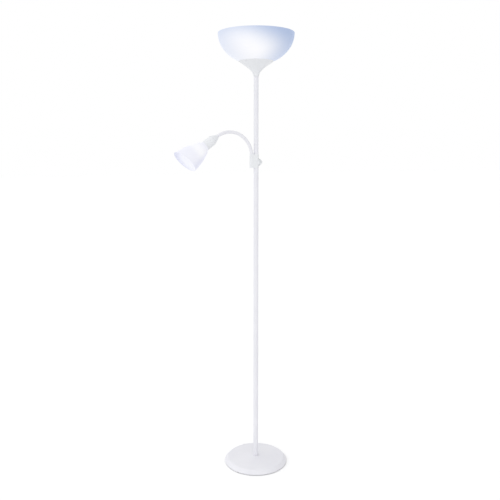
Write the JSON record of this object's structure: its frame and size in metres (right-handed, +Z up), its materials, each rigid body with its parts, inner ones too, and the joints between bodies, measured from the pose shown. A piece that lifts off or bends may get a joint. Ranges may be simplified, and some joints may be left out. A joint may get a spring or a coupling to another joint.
{
  "type": "torchiere floor lamp with reading light",
  "caption": "Free-standing uplighter: bowl shade on a straight pole and round base, with a small bell shade on a bendable neck and a rotary switch.",
  "frame": {"origin": "point on the floor under the pole's axis, level with the underside of the base's foam pad", "axes": "+Z up along the pole; the flexible neck and reading shade reach towards -X; the switch knob faces +X; the cord inlet is at the back, +Y"},
  "size_m": [0.4859, 0.3, 1.7606],
  "materials": {
    "white_paint": "satin white powder coat",
    "white_plastic": "satin white moulded plastic",
    "bowl_plastic": "translucent opal plastic, lit from inside",
    "reading_shade_plastic": "translucent opal plastic, lit from inside",
    "holder_plastic": "moulded heat-resistant plastic",
    "switch_plastic": "black moulded plastic",
    "iron": "rough cast, primed",
    "zinc_steel": "bright zinc plate",
    "contact_brass": "bare stamped brass",
    "cap_metal": "rolled thread, bare metal",
    "bulb_glass": "frosted glass",
    "pad_foam": "soft closed-cell foam",
    "grommet_rubber": "white soft moulding",
    "lead_sheath": "white round sheath"
  },
  "bodies": {
    "stand": {"base_cover": "white_paint", "base_weight": "iron", "base_bottom_plate": "zinc_steel", "base_plate_screws": "zinc_steel", "base_pad": "pad_foam", "base_rod": "zinc_steel", "base_washer": "zinc_steel", "base_nut": "zinc_steel", "cord_grommet": "grommet_rubber", "pole_tube_1": "white_paint", "pole_tube_2": "white_paint", "pole_tube_3": "white_paint", "tube_bushes": "zinc_steel", "tube_joint_rods": "zinc_steel", "top_tube": "white_paint", "top_tube_bush": "zinc_steel", "housing_front": "white_plastic", "housing_back": "white_plastic", "housing_screws": "zinc_steel", "switch_body": "switch_plastic", "switch_nut": "zinc_steel", "neck_ferrule": "white_paint", "neck_nut": "zinc_steel", "funnel_cover": "white_plastic", "top_rod": "zinc_steel", "top_nut": "zinc_steel", "top_lampholder": "holder_plastic", "top_contact": "contact_brass", "top_bulb_cap": "cap_metal", "top_bulb_glass": "bulb_glass", "bowl_ring": "holder_plastic", "bowl_shade": "bowl_plastic", "uplight_lead": "lead_sheath"},
    "link_1": {"neck_link_1": "white_paint"},
    "link_2": {"neck_link_2": "white_paint"},
    "link_3": {"neck_link_3": "white_paint"},
    "link_4": {"neck_link_4": "white_paint"},
    "link_5": {"neck_link_5": "white_paint"},
    "link_6": {"neck_link_6": "white_paint"},
    "link_7": {"neck_link_7": "white_paint"},
    "reading_head": {"neck_tip": "white_paint", "neck_tip_nut": "zinc_steel", "reading_cup": "white_plastic", "reading_lampholder": "holder_plastic", "reading_contact": "contact_brass", "reading_bulb_cap": "cap_metal", "reading_bulb_glass": "bulb_glass", "reading_shade_ring": "holder_plastic", "reading_shade": "reading_shade_plastic"},
    "switch_knob": {"switch_knob": "white_plastic", "switch_shaft": "zinc_steel"}
  },
  "joints": [
    {"name": "neck_bend_1", "type": "hinge", "parent": "stand", "child": "link_1", "pos_m": [-0.02074, 0, 1.29807], "axis": [0, -1, 0], "range_deg": [-20, 12.5]},
    {"name": "neck_sway_1", "type": "hinge", "parent": "link_1", "child": "link_2", "pos_m": [-0.02793, 0, 1.32196], "axis": [0.91, 0, 0.4147], "range_deg": [-15, 15]},
    {"name": "neck_bend_2", "type": "hinge", "parent": "link_2", "child": "link_3", "pos_m": [-0.04124, 0, 1.34306], "axis": [0, -1, 0], "range_deg": [-20, 12.5]},
    {"name": "neck_sway_2", "type": "hinge", "parent": "link_3", "child": "link_4", "pos_m": [-0.05971, 0, 1.35983], "axis": [0.5664, 0, 0.8241], "range_deg": [-15, 15]},
    {"name": "neck_bend_3", "type": "hinge", "parent": "link_4", "child": "link_5", "pos_m": [-0.08199, 0, 1.37106], "axis": [0, -1, 0], "range_deg": [-20, 12.5]},
    {"name": "neck_sway_3", "type": "hinge", "parent": "link_5", "child": "link_6", "pos_m": [-0.10645, 0, 1.37593], "axis": [0.061, 0, 0.9981], "range_deg": [-15, 15]},
    {"name": "neck_bend_4", "type": "hinge", "parent": "link_6", "child": "link_7", "pos_m": [-0.13133, 0, 1.37408], "axis": [0, -1, 0], "range_deg": [-20, 12.5]},
    {"name": "neck_sway_4", "type": "hinge", "parent": "link_7", "child": "reading_head", "pos_m": [-0.15481, 0, 1.36565], "axis": [-0.4617, 0, 0.887], "range_deg": [-15, 15]},
    {"name": "switch_turn", "type": "hinge", "parent": "stand", "child": "switch_knob", "pos_m": [0.0126, 0, 1.2579], "axis": [1, 0, 0], "continuous": true}
  ],
  "couplings": [
    {"joint": "neck_bend_2", "follows": "neck_bend_1", "ratio": 1},
    {"joint": "neck_sway_2", "follows": "neck_sway_1", "ratio": 1},
    {"joint": "neck_bend_3", "follows": "neck_bend_1", "ratio": 1},
    {"joint": "neck_sway_3", "follows": "neck_sway_1", "ratio": 1},
    {"joint": "neck_bend_4", "follows": "neck_bend_1", "ratio": 1},
    {"joint": "neck_sway_4", "follows": "neck_sway_1", "ratio": 1}
  ]
}
